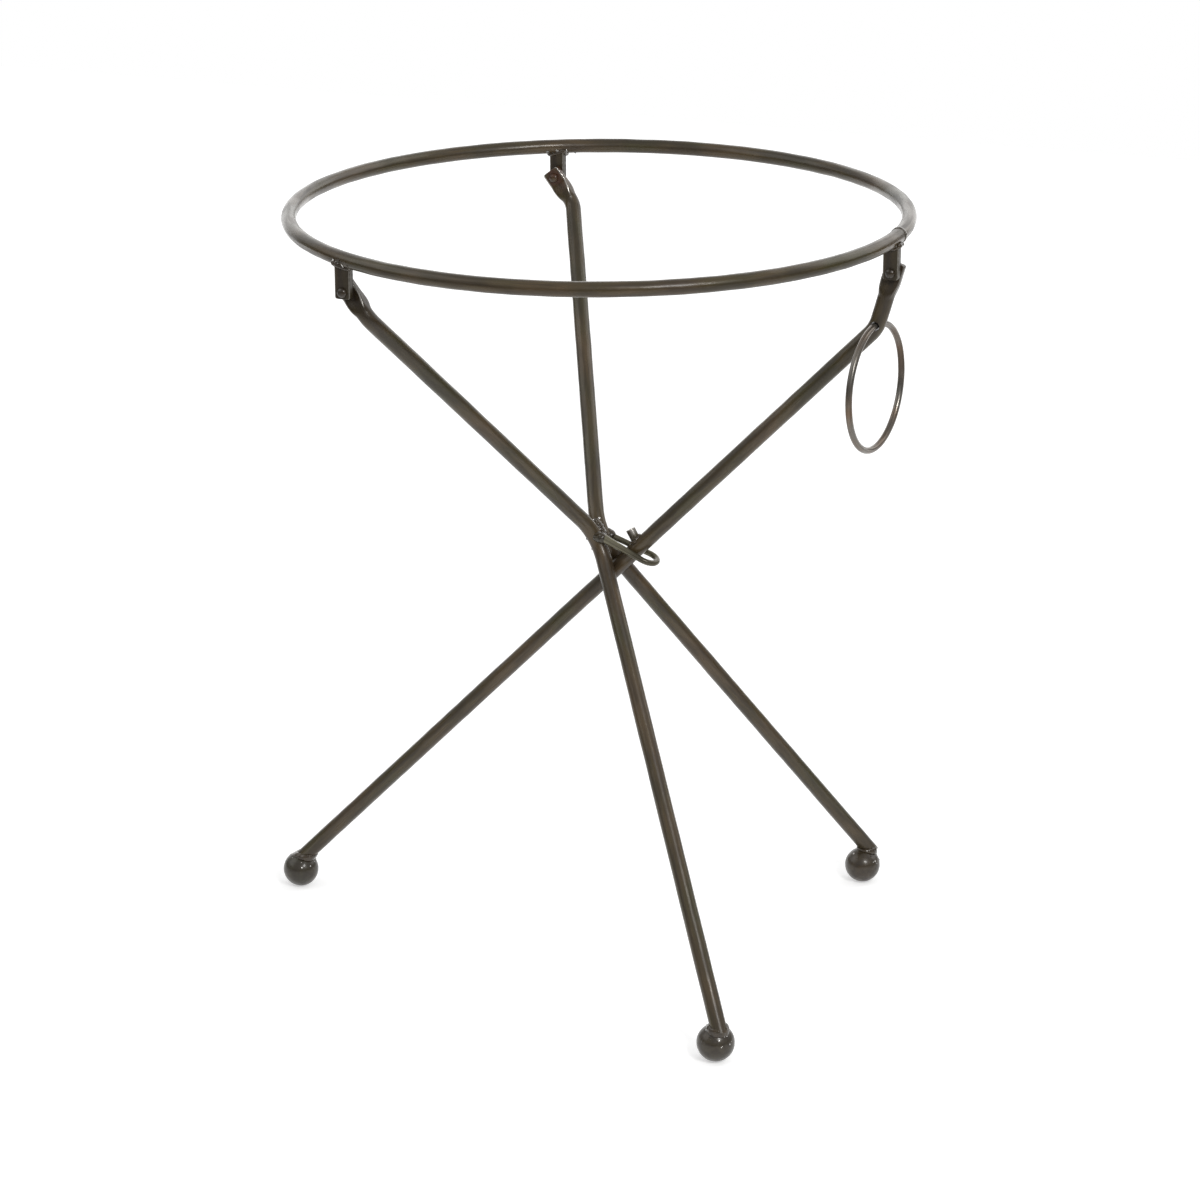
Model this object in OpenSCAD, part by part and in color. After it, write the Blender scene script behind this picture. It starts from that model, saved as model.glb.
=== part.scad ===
// Folding tripod stand of welded round bar: a top ring on three hinge lugs, two crossed
// frame legs, and a sliding leg that runs through a keeper loop at the crossing.
// +Z is up, Z = 0 is the floor, and the ring's centre is above the origin.
// The stand is a mirror image of itself across the XZ plane, apart from the sliding leg's
// hinge lug and the hang ring. +Y is called rear and -Y is called front.

/* [Top ring] */
// Radius of the ring bar's centre line
ring_r = 203; // [170:1:240]
// Diameter of the ring bar
ring_bar_d = 10; // [8:0.5:14]
// Height of the ring bar's centre above the floor
ring_z = 518.5; // [460:0.5:600]
// Angle round the ring from the sliding leg's lug to the butt weld
seam_angle = 2.4; // [2:0.1:8]
// How far the butt weld stands out from the bar
seam_proud = 0.8; // [0.4:0.1:1.5]
// Width of the butt weld along the bar
seam_w = 2.8; // [2:0.1:4]

/* [Hinges] */
// Distance from the ring bar's centre down to a hinge pin
pin_drop = 21; // [16:0.5:30]
// Width of a hinge lug
lug_w = 10.5; // [9:0.5:14]
// Thickness of a hinge lug
lug_t = 6; // [4:0.5:8]
// Length of a lug below its pin
lug_end = 4.4; // [3.5:0.1:6]
// Corner radius of a lug's lower end
lug_corner_r = 1.6; // [1:0.1:2.5]
// How far a lug's top is coped up round the bar
lug_cope = 1.5; // [1:0.1:2.5]
// Diameter of a rivet's shank
rivet_d = 4; // [3:0.25:5]
// Diameter of a rivet's head
rivet_head_d = 6.6; // [5.6:0.1:8]
// Height of a rivet's head
rivet_head_h = 2.5; // [1.5:0.1:3.5]
// Side gap between a lug, a tab and a rivet head
hinge_gap = 0.35; // [0.3:0.05:0.6]
// Radial clearance of a rivet in its tab
pin_clearance = 0.06; // [0.03:0.01:0.1]

/* [Flattened leg tops] */
// Width of the flattened end
tab_w = 13; // [12:0.5:16]
// Thickness of the flattened end
tab_t = 4.4; // [3:0.2:6]
// Length of the flattened end past its pin
tab_end = 5.6; // [4.5:0.1:8]
// Length of the flat below its pin
tab_flat = 8; // [7:0.5:10]
// Length over which the bar is drawn down to the flat
tab_taper = 6; // [4:0.5:8]
// Corner radius of the flattened end
tab_corner_r = 1.8; // [1:0.1:2.5]

/* [Frame legs] */
// Diameter of the three leg bars
leg_d = 11; // [9:0.5:13]
// Forward place of the crossing of the frame legs
cross_x = -1.5; // [-6:0.5:6]
// Distance between the crossing and the sliding leg's centre line
cross_gap = 25; // [24.5:0.1:27]
// Gap between the two frame legs where they are welded
cross_space = 0.3; // [0.2:0.1:1]
// Distance from the pin in to the shoulder bend
shoulder_in = 13.5; // [8:0.5:16]
// Distance from the pin down to the shoulder bend
shoulder_drop = 17.6; // [17:0.2:24]
// Centre line radius of the shoulder bend
shoulder_r = 14; // [12:0.5:16]
// Forward place of the two frame feet
frame_foot_x = 142.5; // [120:0.5:180]
// Sideways place of the two frame feet
frame_foot_y = 155.5; // [130:0.5:190]
// How far a frame leg's end sits outward of its ball
frame_foot_out = 5.1; // [2:0.1:6]

/* [Sliding leg] */
// Distance of the sliding foot behind the ring's centre
slide_foot_x = 234; // [200:1:270]
// How far the sliding leg's end sits inward of its ball
slide_foot_in = 4; // [2:0.1:6]
// Distance from the pin in to the sliding leg's bend
slide_bend_in = 11; // [9:0.5:16]
// Distance from the pin down to the sliding leg's bend
slide_bend_drop = 39; // [38:0.5:50]
// Centre line radius of the sliding leg's bend
slide_bend_r = 24; // [24:1:36]

/* [Feet] */
// Diameter of a ball foot
ball_d = 25; // [20:0.5:32]
// Diameter of the flat that a ball stands on
ball_flat_d = 4; // [3:0.5:6]
// Depth that a leg's end is let into the top of its ball
ball_seat = 1; // [0.6:0.1:1.5]

/* [Keeper loop] */
// Diameter of the keeper's wire
keeper_wire_d = 4.2; // [3.5:0.1:5]
// Clearance on each side of the sliding leg
keeper_side_gap = 0.5; // [0.4:0.1:1.5]
// Distance from the sliding leg to the centre of the loop's round end
keeper_reach = 9; // [8:0.5:12]
// Angle between the loop and the sliding leg
keeper_angle = 64.7; // [60:0.1:75]
// Distance from the crossing to the ends of the wire
keeper_root = 5; // [4:0.5:6]

/* [Stop stub] */
// Diameter of the stub of bar on the sliding leg
stop_d = 6.6; // [5:0.2:8]
// Height of the stub above the sliding leg's surface
stop_h = 7.6; // [5:0.2:9]
// Distance of the stub up the leg from the crossing
stop_ahead = 17.7; // [16:0.1:30]
// Lean of the stub towards the ring
stop_lean = 16; // [0:1:20]

/* [Hang ring] */
// Centre line radius of the hang ring
hang_r = 41.5; // [34:0.5:48]
// Diameter of the hang ring's wire
hang_wire_d = 4.5; // [3.5:0.1:5]
// Diameter of the hole that it hangs in
hang_hole_d = 6.8; // [6.6:0.1:7.5]
// How far the wire's centre hangs below the hole's centre
hang_low = 0.1; // [0:0.05:0.2]
// Distance of the hole up the leg from the middle of its bend
hang_hole_up = 2; // [0:0.1:2]
// Turn of the hang ring about the vertical
hang_turn = 6.5; // [0:0.5:7]

/* [Weld beads] */
// Radius of the bead round each ball's top
foot_bead_r = 2.2; // [1.8:0.1:3]
// How far the middle of that bead lies outside the leg
foot_bead_out = 0.5; // [0.3:0.1:1]
// Radius of the bead round each lug's top
lug_bead_r = 1.9; // [1.2:0.1:2.5]
// Radius of the bead along the crossing
cross_bead_r = 3; // [2:0.1:3.5]
// How far out the bead along the crossing lies, as a share of the legs' diameter
cross_bead_out = 0.38; // [0.3:0.01:0.45]
// Length of the bead along the crossing
cross_bead_len = 15; // [8:1:20]
// Radius of the beads at the keeper's ends
keeper_bead_r = 3.6; // [3:0.1:4]
// Radius of the bead round the stub's foot
stop_bead_r = 1.4; // [1:0.1:1.8]

/* [Hidden] */
$fn = 96;

// Colours of the bronze-brown lacquer, of the bare hang ring and of the weld metal
lacquer = [0.30, 0.27, 0.22];
lacquer_worn = [0.36, 0.31, 0.25];
bare_wire = [0.45, 0.43, 0.39];
weld_metal = [0.34, 0.31, 0.26];

// Where the two frame lugs sit round the ring from the sliding leg's lug
lug_angle = 120;

// Places on the stand, worked out from the sizes above
function unit(v) = v / norm(v);
pin_z = ring_z - pin_drop;
pin_x = ring_r * cos(lug_angle);
lug_y = ring_r * sin(lug_angle);
tab_step = lug_t / 2 + hinge_gap + tab_t / 2;
tab_y = lug_y - tab_step;
ball_r = ball_d / 2;
ball_z = sqrt(ball_r * ball_r - ball_flat_d * ball_flat_d / 4);
seat_z = ball_z + ball_r - ball_seat;

// Sliding leg, in the XZ plane: lower end, bend and pin
slide_ball = [-slide_foot_x, 0, ball_z];
slide_end = [slide_foot_in - slide_foot_x, 0, seat_z];
slide_pin = [ring_r, 0, pin_z];
slide_bend = slide_pin - [slide_bend_in, 0, slide_bend_drop];
slide_dir = unit(slide_bend - slide_end);
slide_normal = [-slide_dir.z, 0, slide_dir.x];
slide_tab_dir = unit(slide_pin - slide_bend);

// The crossing of the frame legs lies above the sliding leg by cross_gap
slide_rise = slide_dir.z / slide_dir.x;
cross_z = slide_end.z + (cross_x - slide_end.x) * slide_rise + cross_gap / slide_dir.x;
crossing = [cross_x, 0, cross_z];

// Rear frame leg: pin, shoulder, crossing and lower end; the front one is its mirror image
frame_ball = [frame_foot_x, frame_foot_y, ball_z];
frame_out = unit([frame_foot_x, frame_foot_y, 0]) * frame_foot_out;
frame_end = [frame_foot_x, frame_foot_y, seat_z] + frame_out;
frame_pin = [pin_x, tab_y, pin_z];
shoulder = frame_pin + [shoulder_in, 0, -shoulder_drop];
frame_up = unit(shoulder - crossing);
frame_down = unit(frame_end - crossing);
frame_tab_dir = unit(frame_pin - shoulder);
knee_angle = acos(-frame_up * frame_down);
knee_normal = unit(cross(frame_up, frame_down));
knee_reach = unit(frame_up + frame_down).y / cos(knee_angle / 2)
    - sqrt(1 - knee_normal.y * knee_normal.y);
knee_r = (leg_d + cross_space) / 2 / knee_reach;
knee_dir = unit(frame_down - frame_up);
valley_dir = unit([knee_dir.x, 0, knee_dir.z]);
valley_out = [valley_dir.z, 0, -valley_dir.x];

// Keeper loop: leaves the crossing and passes on both sides of the sliding leg
keeper_tilt = atan2(slide_dir.z, slide_dir.x) - keeper_angle;
keeper_half = (leg_d + keeper_wire_d) / 2 + keeper_side_gap;
keeper_turn = cross_gap / sin(keeper_angle) + keeper_reach;

// Stub and hang ring on the sliding leg
stop_foot = crossing - slide_normal * cross_gap + slide_dir * stop_ahead;
stop_dir = slide_normal * cos(stop_lean) + slide_dir * sin(stop_lean);
stop_surface = leg_d / 2 / cos(stop_lean);
slide_turn = acos(slide_dir * slide_tab_dir);
slide_in = unit(slide_tab_dir - slide_dir);
hang_turn_up = hang_hole_up / slide_bend_r * 180 / PI;
hang_hole = slide_bend + slide_in * slide_bend_r * (1 / cos(slide_turn / 2) - cos(hang_turn_up))
    + unit(slide_tab_dir + slide_dir) * slide_bend_r * sin(hang_turn_up);

// Overshoot of cutting shapes past the faces that they cut
over = 1;
// How far straight bar runs into a bend, and how much thinner the bend is all round
bend_over = 0.3;
bend_under = 0.01;
// Inset of a drawn-down shape inside the bar and the flat that it joins
inset = 0.05;

// A straight length of round bar from p to q
module rod(p, q, d) {
    u = unit(q - p);
    translate(p)
        rotate([0, acos(u.z), atan2(u.y, u.x)])
            cylinder(h = norm(q - p), d = d);
}

// A bend of centre line radius r at corner v, from direction a into direction b
module bend(v, a, b, r, d) {
    turn = acos(a * b);
    centre = v + unit(b - a) * r / cos(turn / 2);
    x = unit(v - a * r * tan(turn / 2) - centre);
    z = unit(cross(a, b));
    y = cross(z, x);
    multmatrix([
        [x.x, y.x, z.x, centre.x],
        [x.y, y.y, z.y, centre.y],
        [x.z, y.z, z.z, centre.z],
        [0, 0, 0, 1]
    ])
        rotate_extrude(angle = turn)
            translate([r, 0])
                circle(d = d, $fn = 48);
}

// Round bar bent at each inner point of a path, with one radius for each bend. The straights
// run a little way into the bends, which are a hair thinner, so that they fuse cleanly.
module bent_bar(points, radii, d) {
    last = len(points) - 1;
    dirs = [for (i = [0 : last - 1]) unit(points[i + 1] - points[i])];
    trims = [for (i = [0 : last]) i == 0 || i == last ? 0 :
        radii[i - 1] * tan(acos(dirs[i - 1] * dirs[i]) / 2) - bend_over];
    for (i = [0 : last - 1])
        rod(points[i] + dirs[i] * trims[i], points[i + 1] - dirs[i] * trims[i + 1], d);
    for (i = [1 : last - 1])
        bend(points[i], dirs[i - 1], dirs[i], radii[i - 1], d - 2 * bend_under);
}

// Outline of a flat bar end with round corners, up to past and down to below its pin
module flat_outline(w, past, below, r) {
    translate([-w / 2, -below])
        square([w, below + past - r]);
    translate([r - w / 2, -below])
        square([w - 2 * r, below + past]);
    for (s = [-1, 1])
        translate([s * (w / 2 - r), past - r])
            circle(r = r, $fn = 48);
}

// A hole for a rivet or wire, through p along Y
module cross_hole(p, d) {
    translate(p)
        rotate([90, 0, 0])
            cylinder(h = 4 * leg_d, d = d, center = true);
}

// Flattened end of a leg, centred on its pin and pointing along dir in the XZ plane
module tab(pin, dir) {
    translate(pin)
        rotate([0, atan2(dir.x, dir.z), 0]) {
            rotate([90, 0, 0])
                linear_extrude(height = tab_t, center = true)
                    flat_outline(tab_w, tab_end, tab_flat, tab_corner_r);
            hull() {
                translate([0, 0, -tab_flat - tab_taper - over])
                    cylinder(h = over, d = leg_d - 2 * inset, $fn = 32);
                translate([0, 0, over / 2 - tab_flat])
                    cube([tab_w - 2 * inset, tab_t - 2 * inset, over], center = true);
            }
        }
}

// Lower end of a leg is cut level and hollowed to sit on its ball
module foot_cut(end, ball) {
    translate(ball)
        sphere(r = ball_r);
    translate([end.x, end.y, seat_z - leg_d])
        cube([4 * leg_d, 4 * leg_d, 2 * leg_d], center = true);
}

// Round bar of the rear frame leg, without its flattened end
module frame_bar() {
    top = frame_pin - frame_tab_dir * (tab_flat + tab_taper);
    low = frame_end + frame_down * leg_d;
    difference() {
        bent_bar([top, shoulder, crossing, low], [shoulder_r, knee_r], leg_d);
        foot_cut(frame_end, frame_ball);
    }
}

// Round bar of the sliding leg, without its flattened end
module slide_bar() {
    top = slide_pin - slide_tab_dir * (tab_flat + tab_taper);
    low = slide_end - slide_dir * leg_d;
    difference() {
        bent_bar([top, slide_bend, low], [slide_bend_r], leg_d);
        foot_cut(slide_end, slide_ball);
    }
}

// Ring of round bar
module ring_bar() {
    translate([0, 0, ring_z])
        rotate_extrude($fn = 180)
            translate([ring_r, 0])
                circle(d = ring_bar_d, $fn = 48);
}

// Hinge lug below the ring bar, with its hole, centred on y = at.y
module lug(at) {
    past = ring_z - ring_bar_d / 2 + lug_cope - pin_z;
    difference() {
        translate([at.x, at.y, pin_z])
            rotate([90, 0, 0])
                linear_extrude(height = lug_t, center = true)
                    mirror([0, 1])
                        flat_outline(lug_w, lug_end, past, lug_corner_r);
        ring_bar();
        cross_hole([at.x, at.y, pin_z], rivet_d);
    }
}

// A ring-shaped bead of weld metal round a joint, filled across
module bead(path_r, r) {
    rotate_extrude()
        translate([path_r, 0])
            circle(r = r, $fn = 48);
    cylinder(h = r, r = path_r, center = true);
}

// Weld bead round the top of a lug
module lug_weld(at) {
    difference() {
        translate([at.x, at.y, ring_z - ring_bar_d / 2])
            bead(lug_w / 2, lug_bead_r);
        ring_bar();
        lug(at);
    }
}

// Domed rivet head standing on Z = 0
module rivet_head() {
    a = rivet_head_d / 2;
    dome_r = (a * a + rivet_head_h * rivet_head_h) / 2 / rivet_head_h;
    intersection() {
        translate([0, 0, rivet_head_h - dome_r])
            sphere(r = dome_r);
        cylinder(h = rivet_head_h, r = a);
    }
}

// Rivet along Y, from the lug's outer face to the tab's far face
module rivet(at) {
    grip = lug_t + tab_t + 2 * hinge_gap;
    translate([at.x, at.y, pin_z])
        rotate([-90, 0, 0])
            translate([0, 0, -lug_t / 2]) {
                cylinder(h = grip, d = rivet_d);
                translate([0, 0, grip])
                    rivet_head();
                rotate([180, 0, 0])
                    rivet_head();
            }
}

// Ball foot with the small flat that it stands on
module ball(at) {
    difference() {
        translate(at)
            sphere(r = ball_r);
        translate([at.x, at.y, -ball_r])
            cube([ball_d, ball_d, ball_d], center = true);
    }
}

// Weld bead between a leg's end and its ball
module foot_weld(end, ball) {
    difference() {
        translate([end.x, end.y, seat_z])
            bead(leg_d / 2 + foot_bead_out, foot_bead_r);
        translate(ball)
            sphere(r = ball_r);
        children();
    }
}

module top_ring() {
    color(lacquer)
        ring_bar();
}

// Butt weld that closes the ring bar, a round bead that stands out a little
module seam_weld() {
    color(weld_metal)
        difference() {
            rotate([0, 0, seam_angle])
                translate([ring_r, 0, ring_z])
                    rotate([90, 0, 0])
                        intersection() {
                            sphere(r = ring_bar_d / 2 + seam_proud);
                            cylinder(h = seam_w, r = ring_bar_d, center = true);
                        }
            ring_bar();
        }
}

module lug_rear() {
    color(lacquer)
        lug([pin_x, lug_y]);
}

module lug_front() {
    color(lacquer)
        mirror([0, 1, 0])
            lug([pin_x, lug_y]);
}

module lug_slide() {
    color(lacquer)
        mirror([0, 1, 0])
            lug([ring_r, tab_step]);
}

module lug_weld_rear() {
    color(weld_metal)
        lug_weld([pin_x, lug_y]);
}

module lug_weld_front() {
    color(weld_metal)
        mirror([0, 1, 0])
            lug_weld([pin_x, lug_y]);
}

module lug_weld_slide() {
    color(weld_metal)
        mirror([0, 1, 0])
            lug_weld([ring_r, tab_step]);
}

module rivet_rear() {
    color(lacquer_worn)
        mirror([0, 1, 0])
            rivet([pin_x, -lug_y]);
}

module rivet_front() {
    color(lacquer_worn)
        rivet([pin_x, -lug_y]);
}

module rivet_slide() {
    color(lacquer_worn)
        rivet([ring_r, -tab_step]);
}

// Leg from the rear lug, through the crossing, to the rear foot
module frame_leg() {
    color(lacquer)
        difference() {
            union() {
                frame_bar();
                tab(frame_pin, frame_tab_dir);
            }
            cross_hole(frame_pin, rivet_d + 2 * pin_clearance);
        }
}

module frame_leg_rear() {
    frame_leg();
}

module frame_leg_front() {
    mirror([0, 1, 0])
        frame_leg();
}

// Bead that joins the two frame legs along the valley where they touch
module cross_weld() {
    middle = crossing + valley_out * leg_d * cross_bead_out;
    half = valley_dir * cross_bead_len / 2;
    color(weld_metal)
        difference() {
            union() {
                rod(middle - half, middle + half, 2 * cross_bead_r);
                for (s = [-1, 1])
                    translate(middle + s * half)
                        sphere(r = cross_bead_r - bend_under);
            }
            frame_bar();
            mirror([0, 1, 0])
                frame_bar();
        }
}

// U-shaped wire loop
module keeper_wire() {
    translate(crossing)
        rotate([0, -keeper_tilt, 0]) {
            for (s = [-1, 1])
                translate([keeper_root, s * keeper_half, 0])
                    rotate([0, 90, 0])
                        cylinder(h = keeper_turn - keeper_root, d = keeper_wire_d);
            translate([keeper_turn, 0, 0])
                rotate([0, 0, -90])
                    rotate_extrude(angle = 180)
                        translate([keeper_half, 0])
                            circle(d = keeper_wire_d, $fn = 48);
        }
}

module keeper_loop() {
    color(lacquer_worn)
        difference() {
            keeper_wire();
            frame_bar();
            mirror([0, 1, 0])
                frame_bar();
        }
}

// Bead that holds the keeper's rear end to the rear frame leg
module keeper_weld() {
    color(weld_metal)
        difference() {
            translate(crossing)
                rotate([0, -keeper_tilt, 0])
                    translate([keeper_root, keeper_half, 0])
                        sphere(r = keeper_bead_r);
            frame_bar();
            keeper_wire();
        }
}

module keeper_weld_rear() {
    keeper_weld();
}

module keeper_weld_front() {
    mirror([0, 1, 0])
        keeper_weld();
}

// Leg from the sliding leg's lug, through the keeper loop, to its foot
module sliding_leg() {
    color(lacquer)
        difference() {
            union() {
                slide_bar();
                tab(slide_pin, slide_tab_dir);
            }
            cross_hole(slide_pin, rivet_d + 2 * pin_clearance);
            cross_hole(hang_hole, hang_hole_d);
        }
}

// Short stub of bar that stands on the sliding leg above the keeper loop
module stop_stub() {
    color(lacquer)
        difference() {
            rod(stop_foot, stop_foot + stop_dir * (stop_surface + stop_h), stop_d);
            slide_bar();
        }
}

module stop_weld() {
    lean = atan2(stop_dir.x, stop_dir.z);
    color(weld_metal)
        difference() {
            translate(stop_foot + stop_dir * (stop_surface - inset))
                rotate([0, lean, 0])
                    bead(stop_d / 2, stop_bead_r);
            slide_bar();
            rod(stop_foot, stop_foot + stop_dir * (stop_surface + stop_h), stop_d);
        }
}

// Wire ring that the folded stand is hung up by
module hang_ring() {
    color(bare_wire)
        translate(hang_hole - [0, 0, hang_low + hang_r])
            rotate([90, 0, 90 - hang_turn])
                rotate_extrude()
                    translate([hang_r, 0])
                        circle(d = hang_wire_d, $fn = 48);
}

module ball_rear() {
    color(lacquer)
        ball(frame_ball);
}

module ball_front() {
    color(lacquer)
        mirror([0, 1, 0])
            ball(frame_ball);
}

module ball_slide() {
    color(lacquer)
        ball(slide_ball);
}

module foot_weld_rear() {
    color(weld_metal)
        foot_weld(frame_end, frame_ball)
            frame_bar();
}

module foot_weld_front() {
    color(weld_metal)
        mirror([0, 1, 0])
            foot_weld(frame_end, frame_ball)
                frame_bar();
}

module foot_weld_slide() {
    color(weld_metal)
        foot_weld(slide_end, slide_ball)
            slide_bar();
}

top_ring();
seam_weld();
lug_rear();
lug_front();
lug_slide();
lug_weld_rear();
lug_weld_front();
lug_weld_slide();
rivet_rear();
rivet_front();
rivet_slide();
frame_leg_rear();
frame_leg_front();
cross_weld();
keeper_loop();
keeper_weld_rear();
keeper_weld_front();
sliding_leg();
stop_stub();
stop_weld();
hang_ring();
ball_rear();
ball_front();
ball_slide();
foot_weld_rear();
foot_weld_front();
foot_weld_slide();
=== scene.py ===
"""A folding tripod stand of welded round bar, dressed over its CAD frame.

The sections follow the stand as it is put together: the top ring with its lugs and rivets, the
two crossed frame legs with the keeper loop, the sliding leg with its stop and hang ring, and
the ball feet. Lengths are in metres, in the CAD frame.
"""

import bpy
import numpy as np
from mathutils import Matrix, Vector


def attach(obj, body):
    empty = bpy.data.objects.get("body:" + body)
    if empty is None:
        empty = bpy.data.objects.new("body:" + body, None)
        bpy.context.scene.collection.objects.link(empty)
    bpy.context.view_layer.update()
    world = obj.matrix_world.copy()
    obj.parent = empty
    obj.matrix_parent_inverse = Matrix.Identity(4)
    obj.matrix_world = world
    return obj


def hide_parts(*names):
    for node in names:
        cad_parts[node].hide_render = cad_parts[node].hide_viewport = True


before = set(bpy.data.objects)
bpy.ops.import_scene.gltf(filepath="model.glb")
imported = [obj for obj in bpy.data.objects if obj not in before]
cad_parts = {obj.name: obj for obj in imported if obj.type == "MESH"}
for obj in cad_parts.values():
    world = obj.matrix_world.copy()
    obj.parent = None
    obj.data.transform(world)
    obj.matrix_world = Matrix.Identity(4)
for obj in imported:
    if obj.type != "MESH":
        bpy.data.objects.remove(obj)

scene = bpy.context.scene
scene.view_settings.view_transform = "Standard"
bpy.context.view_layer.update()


# Camera
# A long lens, two metres and a half away and half a metre above the ring.
camera = bpy.data.objects.new("camera", bpy.data.cameras.new("camera"))
camera.data.lens = 108.97
camera.data.sensor_width = 36.0
camera.location = (0.86677, -2.16647, 1.06923)
camera.rotation_euler = np.radians([70.6185, 0.146, 21.7542])
scene.collection.objects.link(camera)
scene.camera = camera


# Studio
# A pale floor that runs out of sight under a white surround, one small soft box high on the
# right, a wide one on the left and one behind. The bars mirror dim walls on both sides and a
# white one behind.
stand_middle = Vector((0.0, 0.0, 0.26))
away_from_camera = (-0.371, 0.929, 0.0)
floor_reach = 2.6


def soft_box(name, toward, distance, side, watts):
    """A square lamp with that side, that far from the stand's middle and facing it."""
    toward = Vector(toward).normalized()
    lamp = bpy.data.objects.new(name, bpy.data.lights.new(name, "AREA"))
    lamp.data.size = side
    lamp.data.energy = watts
    lamp.location = stand_middle + toward * distance
    lamp.rotation_euler = toward.to_track_quat("Z", "Y").to_euler()
    scene.collection.objects.link(lamp)


def seen_share(tree):
    """1 for camera, glossy and transmission rays and 0 for the rest: the largest of the three."""
    path = tree.nodes.new("ShaderNodeLightPath")
    share = path.outputs["Is Camera Ray"]
    for ray in ("Is Glossy Ray", "Is Transmission Ray"):
        larger = tree.nodes.new("ShaderNodeMath")
        larger.operation = "MAXIMUM"
        tree.links.new(share, larger.inputs[0])
        tree.links.new(path.outputs[ray], larger.inputs[1])
        share = larger.outputs[0]
    return share


def between(tree, share, low, high):
    """low where the share is 0 and high where it is 1; each is a number or a socket."""
    node = tree.nodes.new("ShaderNodeMapRange")
    for name, end in (("To Min", low), ("To Max", high)):
        if isinstance(end, float):
            node.inputs[name].default_value = end
        else:
            tree.links.new(end, node.inputs[name])
    tree.links.new(share, node.inputs["Value"])
    return node.outputs["Result"]


def ramp(tree, value, start, stop, low, high):
    """A value taken from low at start to high at stop, and no further."""
    node = tree.nodes.new("ShaderNodeMapRange")
    ends = {"From Min": start, "From Max": stop, "To Min": low, "To Max": high}
    for name, number in ends.items():
        node.inputs[name].default_value = number
    tree.links.new(value, node.inputs["Value"])
    return node.outputs["Result"]


def behind(tree, place, start, stop):
    """How far a place or direction lies behind the stand: its share of the way from start to
    stop along the line from the camera."""
    along = tree.nodes.new("ShaderNodeVectorMath")
    along.operation = "DOT_PRODUCT"
    along.inputs[1].default_value = away_from_camera
    tree.links.new(place, along.inputs[0])
    return ramp(tree, along.outputs["Value"], start, stop, low=0.0, high=1.0)


soft_box("key_box", (0.83, -0.72, 0.78), distance=2.6, side=0.6, watts=27.0)
soft_box("side_box", (-1.0, -0.5, 0.9), distance=3.0, side=2.4, watts=18.0)
soft_box("back_box", (0.6, 0.8, 0.7), distance=3.0, side=2.4, watts=22.0)

# the camera sees plain white, the bars mirror the walls, and the rest is lit at half strength
surround = bpy.data.worlds.new("surround")
scene.world = surround
surround.use_nodes = True
sky = surround.node_tree
sky.nodes["Background"].inputs["Color"].default_value = (1.0, 1.0, 1.0, 1.0)
toward = sky.nodes.new("ShaderNodeTexCoord")
height = sky.nodes.new("ShaderNodeSeparateXYZ")
sky.links.new(toward.outputs["Generated"], height.inputs[0])
walls = ramp(sky, height.outputs["Z"], start=0.10, stop=0.26, low=0.08, high=0.60)
white_wall = behind(sky, toward.outputs["Generated"], start=0.66, stop=0.90)
walls = between(sky, white_wall, low=walls, high=1.7)
camera_ray = sky.nodes.new("ShaderNodeLightPath").outputs["Is Camera Ray"]
mirrored = between(sky, camera_ray, low=walls, high=1.0)
strength = between(sky, seen_share(sky), low=0.5, high=mirrored)
sky.links.new(strength, sky.nodes["Background"].inputs["Strength"])

# the floor glows for the camera and in the bars, and lights nothing of itself
floor_mesh = bpy.data.meshes.new("floor")
floor_corners = np.array([[-1, -1, 0], [1, -1, 0], [1, 1, 0], [-1, 1, 0]]) * floor_reach
floor_mesh.from_pydata(floor_corners.tolist(), [], [[0, 1, 2, 3]])
floor = bpy.data.objects.new("floor", floor_mesh)
scene.collection.objects.link(floor)
paper = bpy.data.materials.new("floor_paper")
paper.use_nodes = True
sheet = paper.node_tree
sheet.nodes.remove(sheet.nodes["Principled BSDF"])
matt = sheet.nodes.new("ShaderNodeBsdfDiffuse")
matt.inputs["Color"].default_value = (0.8, 0.8, 0.8, 1.0)
glow = sheet.nodes.new("ShaderNodeEmission")
place = sheet.nodes.new("ShaderNodeTexCoord")
reach = sheet.nodes.new("ShaderNodeVectorMath")
reach.operation = "LENGTH"
sheet.links.new(place.outputs["Object"], reach.inputs[0])
paler = ramp(sheet, reach.outputs["Value"], start=0.5, stop=2.2, low=0.44, high=0.66)
dimmer = ramp(sheet, reach.outputs["Value"], start=0.6, stop=1.2, low=0.44, high=0.0)
far_side = behind(sheet, place.outputs["Object"], start=0.4, stop=1.2)
dimmer = between(sheet, far_side, low=dimmer, high=1.1)
camera_ray = sheet.nodes.new("ShaderNodeLightPath").outputs["Is Camera Ray"]
mirrored = between(sheet, camera_ray, low=dimmer, high=paler)
strength = between(sheet, seen_share(sheet), low=0.0, high=mirrored)
sheet.links.new(strength, glow.inputs["Strength"])
both = sheet.nodes.new("ShaderNodeAddShader")
sheet.links.new(matt.outputs[0], both.inputs[0])
sheet.links.new(glow.outputs[0], both.inputs[1])
sheet.links.new(both.outputs[0], sheet.nodes["Material Output"].inputs["Surface"])
floor_mesh.materials.append(paper)


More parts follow.
